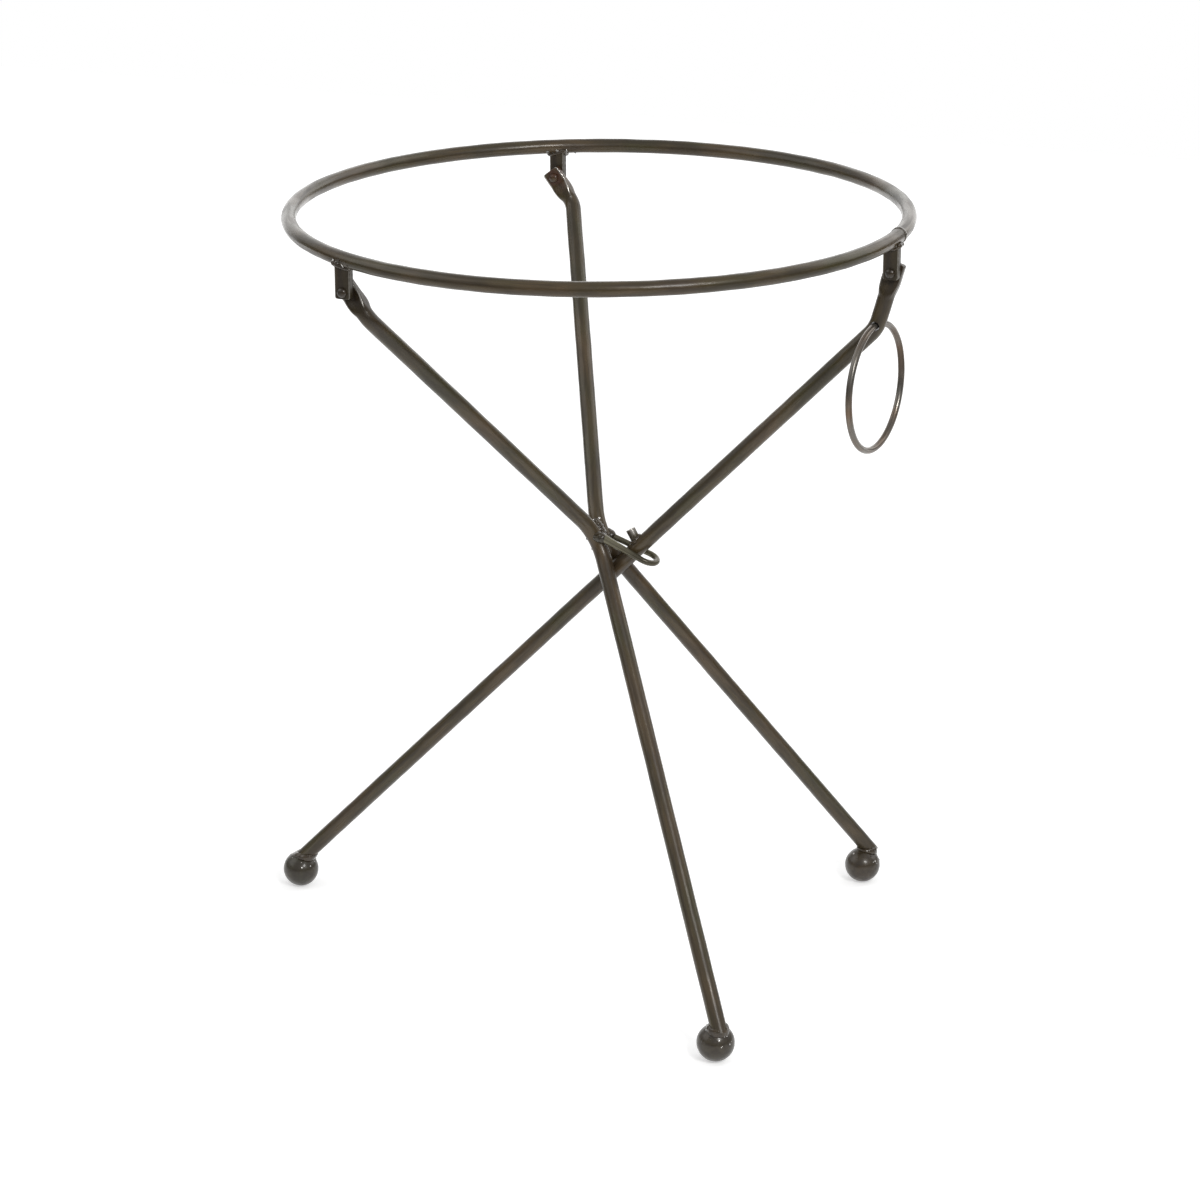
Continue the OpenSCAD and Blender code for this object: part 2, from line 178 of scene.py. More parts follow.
# Top ring
# One length of 10 mm round bar, rolled into a hoop and butt welded. The bar keeps the faint
# waves of the rolls, and the whole stand is dipped in the same bronze-brown lacquer.
ring_radius = 0.203
ring_bar = 0.005
ring_height = 0.5185
ring_rows = 760
ring_columns = 44
ring_waves = 0.00008
seam_turn = np.radians(2.4)
seam_out = np.array([np.cos(seam_turn), np.sin(seam_turn), 0.0])
seam_along = np.array([-np.sin(seam_turn), np.cos(seam_turn), 0.0])
up = np.array([0.0, 0.0, 1.0])
lacquer_brown = (0.078, 0.053, 0.027)
lacquer_olive = (0.049, 0.041, 0.018)
lacquer_dark = (0.016, 0.010, 0.006)
rust_brown = (0.060, 0.023, 0.011)
bare_edge = (0.42, 0.40, 0.37)


def waves(run, angle, height, seed, pitch=0.03):
    """Faint waves of a worked bar: a sum of ten sines of the distance along it and the angle
    round it, with fixed random lengths and phases, at most about height high."""
    draw = np.random.default_rng(seed)
    count = 10
    lengths = pitch * draw.uniform(0.5, 2.5, count)[:, None, None]
    turns = draw.integers(-3, 4, count)[:, None, None]
    phases = draw.uniform(0, 2 * np.pi, count)[:, None, None]
    total = np.sin(2 * np.pi * run[:, None] / lengths + turns * angle + phases).sum(0)
    usual_peak = 1.5
    return total * height / np.sqrt(count) / usual_peak


def marked_piece(name, points, faces, marks):
    """A smooth mesh. marks gives each point the finish's own coordinates (along, across,
    across) and a wear."""
    mesh = bpy.data.meshes.new(name)
    mesh.from_pydata(points.tolist(), [], faces)
    bar = mesh.attributes.new("bar", "FLOAT_VECTOR", "POINT")
    bar.data.foreach_set("vector", marks[:, :3].astype(np.float32).ravel())
    worn = mesh.attributes.new("worn", "FLOAT", "POINT")
    worn.data.foreach_set("value", marks[:, 3].astype(np.float32))
    mesh.shade_smooth()
    piece = bpy.data.objects.new(name, mesh)
    scene.collection.objects.link(piece)
    return piece


def grid_mesh(name, grid, marks, closed=False):
    """A mesh from rows of points, each row a loop: a quad between neighbours on two rows. The
    last row joins the first if closed, and otherwise a point at its middle closes each end."""
    rows, columns = grid.shape[:2]
    index = np.arange(rows * columns).reshape(rows, columns)
    after = np.roll(index, -1, axis=1)
    corners = [index, after, np.roll(after, -1, axis=0), np.roll(index, -1, axis=0)]
    quads = np.stack(corners, axis=-1)
    faces = (quads if closed else quads[:-1]).reshape(-1, 4).tolist()
    points, marks = grid.reshape(-1, 3), marks.reshape(-1, 4)
    if not closed:
        ends = np.array([grid[0].mean(0), grid[-1].mean(0)])
        end_marks = np.array([marks[:columns].mean(0), marks[-columns:].mean(0)])
        first, last = rows * columns, rows * columns + 1
        faces += np.stack([np.full(columns, first), after[0], index[0]], axis=-1).tolist()
        faces += np.stack([np.full(columns, last), index[-1], after[-1]], axis=-1).tolist()
        points, marks = np.vstack([points, ends]), np.vstack([marks, end_marks])
    return marked_piece(name, points, faces, marks)


def carried(middle, across, upward, outline, run, worn=0.0):
    """Rows of points and their marks: each outline (x, y) carried to its place on the path, at
    middle + x across + y upward, and marked with (distance along, x, y) and the wear. The two
    directions are the same for all rows or one for each."""
    x, y = outline[..., :1], outline[..., 1:]
    grid = middle[:, None] + x * across[..., None, :] + y * upward[..., None, :]
    along = np.broadcast_to(run[:, None, None], x.shape)
    wear = np.broadcast_to(worn, x.shape[:2])[..., None]
    return grid, np.concatenate([along, x, y, wear], axis=-1)


def once_round(rows, first, second):
    """Angles t in equal steps once round, and the directions first cos t + second sin t."""
    t = np.linspace(0, 2 * np.pi, rows, endpoint=False)
    return t, np.cos(t)[:, None] * first + np.sin(t)[:, None] * second


def round_outline(run, columns, radius, height, seed, pitch=0.03):
    """Round sections, (r cos a, r sin a), with the radius r less or more by the bar's waves."""
    angle = np.linspace(0, 2 * np.pi, columns, endpoint=False)
    r = radius + waves(run, angle, height, seed, pitch)
    return np.stack([r * np.cos(angle), r * np.sin(angle)], axis=-1)


def noise(tree, where, scale, low, high, stretch=(1.0, 1.0, 1.0), detail=3.0):
    """Cloudy patches, so many to the metre, taken to 0 at low and to 1 at high."""
    turned = tree.nodes.new("ShaderNodeMapping")
    turned.inputs["Scale"].default_value = stretch
    cloud = tree.nodes.new("ShaderNodeTexNoise")
    cloud.inputs["Scale"].default_value = scale
    cloud.inputs["Detail"].default_value = detail
    tree.links.new(where, turned.inputs["Vector"])
    tree.links.new(turned.outputs[0], cloud.inputs["Vector"])
    return ramp(tree, cloud.outputs["Fac"], start=low, stop=high, low=0.0, high=1.0)


def product(tree, a, b):
    """Two shares multiplied; b may be a plain number."""
    node = tree.nodes.new("ShaderNodeMath")
    node.operation = "MULTIPLY"
    tree.links.new(a, node.inputs[0])
    if isinstance(b, float):
        node.inputs[1].default_value = b
    else:
        tree.links.new(b, node.inputs[1])
    return node.outputs[0]


def laid_on(tree, under, over, share):
    """One colour laid on another by a share; either may be a plain colour."""
    mix = tree.nodes.new("ShaderNodeMix")
    mix.data_type = "RGBA"
    tree.links.new(share, mix.inputs[0])
    for colour, socket in ((under, mix.inputs[6]), (over, mix.inputs[7])):
        if isinstance(colour, tuple):
            socket.default_value = (*colour, 1.0)
        else:
            tree.links.new(colour, socket)
    return mix.outputs[2]


def lacquered_iron(
    name, rust=0.0, rust_to=0.02, painted_end_shade=0.0, tone=1.0, roughness=0.26, pits=0.25,
    coat=0.12, drawn=0.12, bare_metal=bare_edge,
):
    """Bronze-brown lacquer on black iron: brown, olive and dark streaks, small pits, and bright
    metal where the lacquer is worn through. A tone below 1 is darker all over, and drawn is how
    far the streaks are drawn out along the bar, 1 for not at all. Towards the start of the bar
    it is darkened by painted shade if painted_end_shade is above 0, and rusty as far as rust_to
    if rust is."""
    material = bpy.data.materials.new(name)
    material.use_nodes = True
    tree = material.node_tree
    skin = tree.nodes["Principled BSDF"]
    skin.inputs["Specular IOR Level"].default_value = 0.4
    skin.inputs["Coat Weight"].default_value = coat
    skin.inputs["Coat Roughness"].default_value = 0.17
    bar = tree.nodes.new("ShaderNodeAttribute")
    bar.attribute_name = "bar"
    where = bar.outputs["Vector"]
    wear = tree.nodes.new("ShaderNodeAttribute")
    wear.attribute_name = "worn"
    apart = tree.nodes.new("ShaderNodeSeparateXYZ")
    tree.links.new(where, apart.inputs[0])

    streaks = noise(tree, where, scale=220.0, low=0.42, high=0.62, stretch=(drawn, 1.0, 1.0))
    clouds = noise(tree, where, scale=26.0, low=0.40, high=0.62, stretch=(0.6, 1.0, 1.0))
    drips = noise(tree, where, scale=420.0, low=0.56, high=0.74, stretch=(drawn * 0.4, 1.0, 1.0))
    specks = noise(tree, where, scale=900.0, low=0.62, high=0.72, detail=1.0)
    brown, olive = (tuple(tone * np.array(hue)) for hue in (lacquer_brown, lacquer_olive))
    colour = laid_on(tree, brown, olive, clouds)
    colour = laid_on(tree, colour, lacquer_dark, product(tree, streaks, 0.55))
    colour = laid_on(tree, colour, lacquer_dark, product(tree, drips, 0.6))
    # painted shade: the lacquer is darkened towards the start of the bar, by the given share
    if painted_end_shade > 0:
        end_shade_share = ramp(tree, apart.outputs["X"], start=0.045, stop=0.012, low=0.0, high=painted_end_shade)
        colour = laid_on(tree, colour, lacquer_dark, end_shade_share)
    if rust > 0:
        near = ramp(
            tree, apart.outputs["X"], start=rust_to, stop=rust_to * 0.45, low=0.0, high=rust
        )
        bloom = noise(tree, where, scale=160.0, low=0.38, high=0.55)
        colour = laid_on(tree, colour, rust_brown, product(tree, near, bloom))
    scuffs = noise(tree, where, scale=160.0, low=0.25, high=0.50, stretch=(0.3, 1.0, 1.0))
    bare = product(tree, wear.outputs["Fac"], scuffs)
    colour = laid_on(tree, colour, bare_metal, bare)
    tree.links.new(colour, skin.inputs["Base Color"])
    tree.links.new(between(tree, bare, low=0.1, high=0.9), skin.inputs["Metallic"])
    rough = between(tree, streaks, low=roughness, high=roughness + 0.14)
    tree.links.new(rough, skin.inputs["Roughness"])

    rough_skin = noise(
        tree, where, scale=520.0, low=0.2, high=0.8, stretch=(0.35, 1.0, 1.0), detail=4.0
    )
    dimples = tree.nodes.new("ShaderNodeMath")
    dimples.operation = "MULTIPLY_ADD"
    tree.links.new(specks, dimples.inputs[0])
    dimples.inputs[1].default_value = -pits
    tree.links.new(rough_skin, dimples.inputs[2])
    bump = tree.nodes.new("ShaderNodeBump")
    bump.inputs["Distance"].default_value = 0.00025
    tree.links.new(between(tree, bare, low=0.28, high=0.10), bump.inputs["Strength"])
    tree.links.new(dimples.outputs[0], bump.inputs["Height"])
    tree.links.new(bump.outputs["Normal"], skin.inputs["Normal"])
    return material


def fitted(piece, material, body, node):
    """The piece gets its finish, rides on its body and stands for its CAD node, if it has one."""
    piece.data.materials.append(material)
    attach(piece, body)
    if node is not None:
        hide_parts(node)


bar_lacquer = lacquered_iron("bar_lacquer")
t, outward = once_round(ring_rows, seam_out, seam_along)
run = ring_radius * t
middle = outward * ring_radius + up * ring_height
outline = round_outline(run, ring_columns, ring_bar - ring_waves, ring_waves, seed=3)
# outward then downward goes round the bar's direction of travel
grid, marks = carried(middle, outward, -up, outline, run)
ring_piece = grid_mesh("ring_hoop", grid, marks, closed=True)
fitted(ring_piece, bar_lacquer, "ring", "top_ring")


# Butt weld of the ring
# A short round bead where the two ends of the hoop meet, filed once and left proud.
seam_width = 0.0036
seam_height = 0.0006
seam_sunk = 0.0001


def bead(name, path, sideways, rising, ripples, seed, closed=True):
    """Weld metal laid along a path: an oval with the given half axes at each point of the path,
    swelling with each ripple of the puddle and with faint random waves. On an open path the
    oval shrinks to nothing at both ends, as sqrt(1 - u^2) does for u from -1 to 1. The highest
    lumps are worn to bright metal."""
    columns, lump_height, lump_pitch, worn_from = 28, 0.10, 0.005, 1.08
    rows = len(path)
    beat = np.arange(rows) / rows * ripples * np.pi
    swell = 0.92 + 0.16 * np.abs(np.sin(beat))
    if not closed:
        u = np.linspace(-1, 1, rows)
        swell = (swell + 0.05 * np.sin(beat * 0.4 + seed)) * np.sqrt(np.clip(1.002 - u**2, 0, None))
    angle = np.linspace(0, 2 * np.pi, columns, endpoint=False)
    run = np.arange(rows) * np.linalg.norm(np.diff(path, axis=0), axis=-1).mean()
    # the lumps fade out where the last row meets the first
    fade = np.sin(np.pi * np.arange(rows) / rows)[:, None]
    lumps = 1 + waves(run, angle, lump_height, seed, lump_pitch) * fade
    outline = np.stack([np.cos(angle) * lumps, np.sin(angle) * lumps], axis=-1)
    worn = np.clip((lumps - worn_from) / 0.06, 0, 0.6)
    grid, marks = carried(path, sideways, rising, outline * swell[:, None, None], run, worn)
    # the outline is a share of the half axes, and the finish wants metres
    marks[..., 1:3] *= 0.002
    return grid_mesh(name, grid, marks, closed)


weld_lacquer = lacquered_iron(
    "weld_lacquer", tone=0.65, roughness=0.18, pits=0.6, coat=0.4, drawn=1.0,
    bare_metal=(0.78, 0.76, 0.73),
)
t, round_bar = once_round(72, seam_out, up)
seam_path = seam_out * ring_radius + up * ring_height + round_bar * (ring_bar - seam_sunk)
seam_piece = bead(
    "ring_seam_bead", seam_path, round_bar * seam_height, seam_along * seam_width / 2,
    ripples=14, seed=5,
)
fitted(seam_piece, weld_lacquer, "ring", "seam_weld")


# Hinge lugs
# Three short lengths of 10.5 by 6 mm flat bar, welded on end under the ring, with the corners
# of the lower end knocked off. Two carry the frame legs and the third the sliding leg.
lug_half_width = 0.00525
lug_half_thickness = 0.003
lug_bottom = 0.4931
lug_length = 0.0219
lug_corner = 0.0016
lug_edge = 0.0004
lug_columns = 56
lug_squareness = 11.0
lug_unevenness = 0.012
lug_wear = 0.55
pin_height = 0.4975
across_stand = np.array([0.0, 1.0, 0.0])
hinges = {
    "rear": np.array([-0.1015, 0.175803, pin_height]),
    "front": np.array([-0.1015, -0.175803, pin_height]),
    "slide": np.array([ring_radius, -0.00555, pin_height]),
}


def flat_outline(columns, half_x, half_y, squareness):
    """Rounded rectangles: x = a |cos t|^(2/p), y = b |sin t|^(2/p) with the signs kept, for
    half sides a and b and a squareness p in each row. p = 2 is an ellipse."""
    angle = np.linspace(0, 2 * np.pi, columns, endpoint=False) + np.pi / columns
    power = 2 / squareness[:, None]
    x = half_x[:, None] * np.sign(np.cos(angle)) * np.abs(np.cos(angle)) ** power
    y = half_y[:, None] * np.sign(np.sin(angle)) * np.abs(np.sin(angle)) ** power
    return np.stack([x, y], axis=-1)


def rounded_in(from_end, radius):
    """How far an edge of that radius has drawn in at each distance from the end: r - sqrt(r^2 -
    (r - e)^2), and nothing past the radius."""
    e = np.clip(radius - from_end, 0, radius)
    return radius - np.sqrt(radius**2 - e**2)


def arris(outline, half_x, half_y, squareness):
    """1 along the edges of a flat bar and 0 on its faces, from |x y| / (a b), which is at most
    0.5^(2/p)."""
    share = np.abs(outline[..., 0] * outline[..., 1]) / (half_x * half_y)[:, None]
    return np.clip((share * 2 ** (2 / squareness)[:, None] - 0.95) / 0.02, 0, 1)


# painted shade: the lugs are darkened, most towards their lower end
lug_lacquer = lacquered_iron("lug_lacquer", painted_end_shade=0.55, roughness=0.42, coat=0.04)
# fine rows round the knocked-off corners, and wider ones up to the ring
from_end = np.concatenate([np.linspace(0, 0.0018, 9), np.linspace(0.0024, lug_length, 26)])
half_x = lug_half_thickness - rounded_in(from_end, lug_edge)
half_y = lug_half_width - rounded_in(from_end, lug_corner)
square = np.full(len(from_end), lug_squareness)
outline = flat_outline(lug_columns, half_x, half_y, square)
uneven = np.abs(waves(from_end, np.zeros(lug_columns), 1.0, seed=11, pitch=0.01))
outline = outline * (1 - lug_unevenness * uneven[..., None])
wear = lug_wear * arris(outline, half_x, half_y, square)
lug_across = np.array([-1.0, 0.0, 0.0])
for side, pin in hinges.items():
    lug_middle = np.array([pin[0], pin[1], lug_bottom]) + from_end[:, None] * up
    grid, marks = carried(lug_middle, across_stand, lug_across, outline, from_end, wear)
    lug_piece = grid_mesh(f"lug_{side}_plate", grid, marks)
    fitted(lug_piece, lug_lacquer, "ring", f"lug_{side}")


# Lug welds
# A bead run once round the top of each lug, where it meets the underside of the ring, with
# drops of spatter beside it.
lug_bead = 0.0016
lug_bead_rows = 96
lug_bead_sunk = 0.0003
lug_drops = 44
lug_drop_spread = 0.026
drop_least = 0.0003
drop_most = 0.001


def drops(name, places, outward, sizes, body):
    """Spatter: a low round drop at each place, x = c + r (cos a cos b u + sin a cos b v + 0.7
    sin b n), with n outward from the metal and b from just under the surface to near the top.
    Every other drop is bare on top."""
    outward = outward / np.linalg.norm(outward, axis=-1, keepdims=True)
    other = np.where(np.abs(outward[:, 2:]) < 0.8, [[0.0, 0.0, 1.0]], [[1.0, 0.0, 0.0]])
    u = np.cross(other, outward)
    u /= np.linalg.norm(u, axis=-1, keepdims=True)
    v = np.cross(outward, u)
    b = np.linspace(-0.5, 1.3, 6)[:, None]
    a = np.linspace(0, 2 * np.pi, 10, endpoint=False)[None, :]
    shape = np.stack([np.cos(a) * np.cos(b), np.sin(a) * np.cos(b), 0.7 * np.sin(b) + 0 * a], -1)
    basis = np.stack([u, v, outward], axis=1)
    local = np.einsum("ijk,nkl->nijl", shape, basis) * sizes[:, None, None, None]
    points = (places[:, None, None] + local).reshape(-1, 3)
    count, rows, columns = local.shape[:3]
    index = np.arange(count * rows * columns).reshape(count, rows, columns)
    after = np.roll(index, -1, axis=2)
    quads = np.stack([index[:, :-1], after[:, :-1], after[:, 1:], index[:, 1:]], -1)
    lids = np.concatenate([index[:, 0, ::-1], index[:, -1]])
    bare = np.zeros((count, rows, columns))
    bare[::2, 3:] = 0.9
    faces = quads.reshape(-1, 4).tolist() + lids.tolist()
    piece = marked_piece(name, points, faces, np.column_stack([points, bare.ravel()]))
    fitted(piece, weld_lacquer, body, None)


for number, (side, pin) in enumerate(hinges.items()):
    half_sides = np.full(1, lug_half_width), np.full(1, lug_half_thickness)
    wide = 1.06 * flat_outline(lug_bead_rows, *half_sides, np.full(1, 7.0))[0]
    outward = wide / np.linalg.norm(wide, axis=-1, keepdims=True)
    flat = pin[:2] + wide
    # the ring's underside over each point of the lug's outline
    off = np.clip(np.abs(np.hypot(flat[:, 0], flat[:, 1]) - ring_radius), 0, 0.0044)
    height = ring_height - np.sqrt(ring_bar**2 - off**2) - lug_bead_sunk
    weld_path = np.column_stack([flat, height])
    sideways = np.column_stack([outward * lug_bead, np.zeros(lug_bead_rows)])
    rising = -up * lug_bead * 0.95
    weld_piece = bead(
        f"lug_{side}_bead", weld_path, sideways, rising, ripples=17, seed=20 + number
    )
    fitted(weld_piece, weld_lacquer, "ring", f"lug_weld_{side}")

    draw = np.random.default_rng(40 + number)
    bearing = np.arctan2(pin[1], pin[0]) + draw.normal(size=lug_drops) * lug_drop_spread
    # round the underside of the ring bar, from its inner line to just above its outer one
    round_it = draw.uniform(-2.9, 0.1, lug_drops)
    out = np.stack([np.cos(bearing), np.sin(bearing), 0 * bearing], -1)
    drop_out = out * np.cos(round_it)[:, None] + np.sin(round_it)[:, None] * up
    drop_at = out * ring_radius + up * ring_height + drop_out * ring_bar
    sizes = draw.uniform(drop_least, drop_most, lug_drops)
    drops(f"ring_{side}_spatter", drop_at, drop_out, sizes, "ring")


# Rivets
# Iron pins of 4 mm, driven through a lug and the flat end of a leg and hammered over at both
# ends, so that the heads are low domes with a few hammer facets.
rivet_shank = 0.002
rivet_head = 0.0033
rivet_rise = 0.0025
rivet_grip = 0.0111
hammer_waves = 0.00007
turned_columns = 44


def turned(name, start, axis, across, run, radii, seed, height, worn=0.0):
    """A turned shape: a circle of each radius round the axis, at each distance along it, with
    waves that high, worn to bright metal by a share for each circle."""
    # no waves where the shape closes to a point
    height = height * np.minimum(1, radii / 0.001)[:, None]
    outline = round_outline(run, turned_columns, radii[:, None], height, seed, pitch=0.005)
    middle = start + run[:, None] * axis
    grid, marks = carried(middle, across, np.cross(axis, across), outline, run, worn)
    return grid_mesh(name, grid, marks)


# painted shade: the front and sliding rivets are darkened all over
rivet_lacquer = {
    "rear": lacquered_iron("rivet_lacquer_rusty", rust=0.85, rust_to=0.05, roughness=0.24),
    "front": lacquered_iron("rivet_lacquer", painted_end_shade=0.7, coat=0.3),
}
rivet_lacquer["slide"] = rivet_lacquer["front"]
# a head from its crown to its rim: r sin^0.8 t out and h (1 - cos^0.9 t) down
t = np.linspace(0.06, np.pi / 2, 12)
dome_r = (rivet_head - 0.0001) * np.sin(t) ** 0.8
dome_h = rivet_rise * (1 - np.cos(t) ** 0.9)
shank_run = [0.0, 0.0, rivet_grip, rivet_grip]
shank_r = [dome_r[-1], rivet_shank, rivet_shank, dome_r[-1]]
run = np.concatenate([dome_h - rivet_rise, shank_run, rivet_grip + rivet_rise - dome_h[::-1]])
radii = np.concatenate([dome_r, shank_r, dome_r[::-1]])
for number, (side, pin) in enumerate(hinges.items()):
    inward = np.array([0.0, -np.sign(pin[1]), 0.0])
    start = pin - inward * lug_half_thickness
    rivet_piece = turned(
        f"rivet_{side}_pin", start, inward, np.array([1.0, 0.0, 0.0]), run, radii,
        seed=50 + number, height=hammer_waves,
    )
    fitted(rivet_piece, rivet_lacquer[side], "ring", f"rivet_{side}")


# Frame legs
# Two lengths of 11 mm round bar. Each has its top end heated and hammered flat, a bend at the
# shoulder, and a knee in the middle where the two are welded to each other.
leg_bar = 0.0055
leg_columns = 60
leg_relief = 0.00007
leg_step = 0.0014
tab_half_width = 0.0065
tab_half_thickness = 0.0022
tab_past = 0.0056
tab_below = 0.0055
tab_drawn = 0.0125
tab_corner = 0.0018
tab_edge = 0.0005
tab_rows = np.array([0, 1, 2, 3, 5, 7, 9, 12, 15, 18, 22]) / 10000
pin_hole_radius = 0.00206
seat_height = 0.0238386
crossing = np.array([-0.0015, 0.0, 0.295084])
knee_radius = 0.029243
shoulder = np.array([-0.088, 0.170253, 0.4799])
shoulder_radius = 0.014
frame_pin = np.array([-0.1015, 0.170253, pin_height])
frame_end = np.array([0.145946, 0.15926, seat_height])


def unit(v):
    """The direction of a vector."""
    return v / np.linalg.norm(v)


def swung(v, axis, angle):
    """v swung about an axis: v cos a + (axis x v) sin a + axis (axis . v)(1 - cos a)."""
    c, s = np.cos(angle)[:, None], np.sin(angle)[:, None]
    return v * c + np.cross(axis, v) * s + axis * (axis @ v) * (1 - c)


def bent_path(corners, radii, across, step):
    """The middle of a bar bent at its inner corners, with a direction across it that turns with
    each bend: straights from bend to bend, and arcs swung about centre = tangent point +
    radius x (normal x direction)."""
    corners = np.array(corners)
    runs = [unit(b - a) for a, b in zip(corners[:-1], corners[1:])]
    start, points, sides, ways = corners[0], [], [], []
    for i, way in enumerate(runs):
        last = i == len(runs) - 1
        turn = 0.0 if last else np.arccos(way @ runs[i + 1])
        trim = 0.0 if last else radii[i] * np.tan(turn / 2)
        end = corners[i + 1] - way * trim
        length = np.linalg.norm(end - start)
        count = int(np.ceil(length / step))
        if count > 0 and length > 1e-6:
            share = np.arange(count + last) / count
            points.append(start + share[:, None] * (end - start))
            sides.append(np.tile(across, (len(share), 1)))
            ways.append(np.tile(way, (len(share), 1)))
        if not last:
            normal = unit(np.cross(way, runs[i + 1]))
            centre = end + radii[i] * np.cross(normal, way)
            count = max(8, int(np.ceil(radii[i] * turn / step)))
            angle = np.arange(count) / count * turn
            points.append(centre + swung(end - centre, normal, angle))
            sides.append(swung(across, normal, angle))
            ways.append(swung(way, normal, angle))
            across = swung(across, normal, np.array([turn]))[0]
            start = corners[i + 1] + runs[i + 1] * trim
    points, sides, ways = np.vstack(points), np.vstack(sides), np.vstack(ways)
    run = np.concatenate([[0.0], np.cumsum(np.linalg.norm(np.diff(points, axis=0), axis=-1))])
    return points, sides, np.cross(ways, sides), run


def finer_start(points, sides, ups, run, near):
    """The same path with extra points near its start, placed along its first straight."""
    keep = run > near[-1] + 1e-5
    extra = points[0] + near[:, None] * unit(points[1] - points[0])
    first_sides, first_ups = (np.tile(a[0], (len(near), 1)) for a in (sides, ups))
    return (
        np.vstack([extra, points[keep]]),
        np.vstack([first_sides, sides[keep]]),
        np.vstack([first_ups, ups[keep]]),
        np.concatenate([near, run[keep]]),
    )


def leg_outline(run, seed, edge_wear=1.8):
    """Sections of a leg: a flat tab with rounded end and edges, drawn over a short length into
    the round bar. Half sides and squareness pass smoothly from the one to the other."""
    t = np.clip((run - tab_past - tab_below) / tab_drawn, 0, 1)
    to_round = t * t * (3 - 2 * t)
    half_x = tab_half_thickness + (leg_bar - tab_half_thickness) * to_round**0.6
    half_y = tab_half_width + (leg_bar - tab_half_width) * to_round
    half_x = half_x - rounded_in(run, tab_edge)
    half_y = half_y - rounded_in(run, tab_corner)
    square = 2 + 8 * (1 - to_round) ** 0.9
    outline = flat_outline(leg_columns, half_x, half_y, square)
    angle = np.linspace(0, 2 * np.pi, leg_columns, endpoint=False)
    relief = waves(run, angle, leg_relief, seed) - leg_relief
    r = np.linalg.norm(outline, axis=-1)
    outline = outline * (1 + relief / np.maximum(r, 0.002) * to_round[:, None])[..., None]
    wear = edge_wear * arris(outline, half_x, half_y, square) * np.sqrt(1 - to_round)[:, None]
    return outline, wear


def level_end(grid, marks, way, height):
    """The bar cut off level: rows within 1 mm of the level plane at that height are left out,
    and the last one before them is drawn on along the bar, in four steps, until it lies in the
    plane. The last step is a little narrower."""
    reach = (height - grid[..., 2]) / way[2]
    keep = reach.min(axis=1) > 0.001
    last, last_marks = grid[keep][-1], marks[keep][-1]
    share = np.array([0.34, 0.67, 0.97, 1.0])[:, None, None]
    draw = (height - last[:, 2:]) / way[2]
    lower = last + share * draw * way
    lower[-1] = lower[-1].mean(0) + (lower[-1] - lower[-1].mean(0)) * 0.96
    lower_marks = np.repeat(last_marks[None], 4, axis=0)
    lower_marks[..., 0] += (share * draw)[..., 0]
    return np.vstack([grid[keep], lower]), np.vstack([marks[keep], lower_marks])


def drilled(piece, holes):
    """Holes of a given centre and radius through the piece along Y, cut with round drills."""
    columns, drill_reach = 48, 0.012
    for number, (centre, radius) in enumerate(holes):
        angle = np.linspace(0, 2 * np.pi, columns, endpoint=False)
        circle = np.stack([radius * np.cos(angle), 0 * angle, radius * np.sin(angle)], -1)
        ends = np.array([-drill_reach, drill_reach])[:, None, None] * across_stand
        tube = centre + circle[None] + ends
        marks = np.concatenate([tube, np.zeros((2, columns, 1))], axis=-1)
        drill = grid_mesh(f"{piece.name}_drill_{number}", tube[::-1], marks[::-1])
        cut = piece.modifiers.new("hole", "BOOLEAN")
        cut.operation = "DIFFERENCE"
        cut.solver = "EXACT"
        cut.object = drill
        bpy.context.view_layer.update()
        seen = bpy.context.evaluated_depsgraph_get()
        cut_mesh = bpy.data.meshes.new_from_object(piece.evaluated_get(seen))
        piece.modifiers.clear()
        piece.data = cut_mesh
        bpy.data.objects.remove(drill)
    piece.data.shade_smooth()
    piece.data.set_sharp_from_angle(angle=np.radians(50))


# painted shade: the front leg and the sliding leg are darkened at their hammered ends
leg_lacquer = {
    "rear": lacquered_iron("rear_leg_lacquer", rust=0.9, rust_to=0.019),
    "front": lacquered_iron("leg_lacquer", painted_end_shade=0.65),
}
knees = {}
for number, (side, mirror) in enumerate((("rear", 1.0), ("front", -1.0))):
    flip = np.array([1.0, mirror, 1.0])
    tip = frame_pin + unit(frame_pin - shoulder) * tab_past
    corners = [tip * flip, shoulder * flip, crossing * flip, frame_end * flip]
    path = bent_path(corners, [shoulder_radius, knee_radius], across_stand, leg_step)
    points, sides, ups, run = finer_start(*path, tab_rows)
    knees[side] = points, sides * -mirror, ups
    outline, wear = leg_outline(run, 60 + number)
    grid, marks = carried(points, sides, ups, outline, run, wear)
    grid, marks = level_end(grid, marks, unit(corners[3] - corners[2]), seat_height)
    leg_piece = grid_mesh(f"frame_leg_{side}_bar", grid, marks)
    drilled(leg_piece, [(frame_pin * flip, pin_hole_radius)])
    fitted(leg_piece, leg_lacquer[side], "frame", f"frame_leg_{side}")


# Weld of the crossing
# The two knees are held together by one thick bead laid in the valley between them and a
# smaller one behind it, with drops of spatter round them.
valley_dir = np.array([0.456, 0.0, -0.890])
valley_out = np.array([-0.890, 0.0, -0.456])
valley_off = 0.00418
cross_half = 0.0102
cross_bead = 0.003
inner_off = 0.0036
inner_half = 0.0085
inner_lower = 0.0025
inner_thick = 0.0029
inner_wide = 0.0034
cross_drops = 70
cross_drop_spread = 0.0065

share = np.linspace(-1, 1, 64)[:, None]
cross_path = crossing + valley_out * valley_off + share * cross_half * valley_dir
cross_piece = bead(
    "cross_bead", cross_path, valley_out * cross_bead * 0.97, across_stand * cross_bead,
    ripples=9, seed=71, closed=False,
)
fitted(cross_piece, weld_lacquer, "frame", "cross_weld")

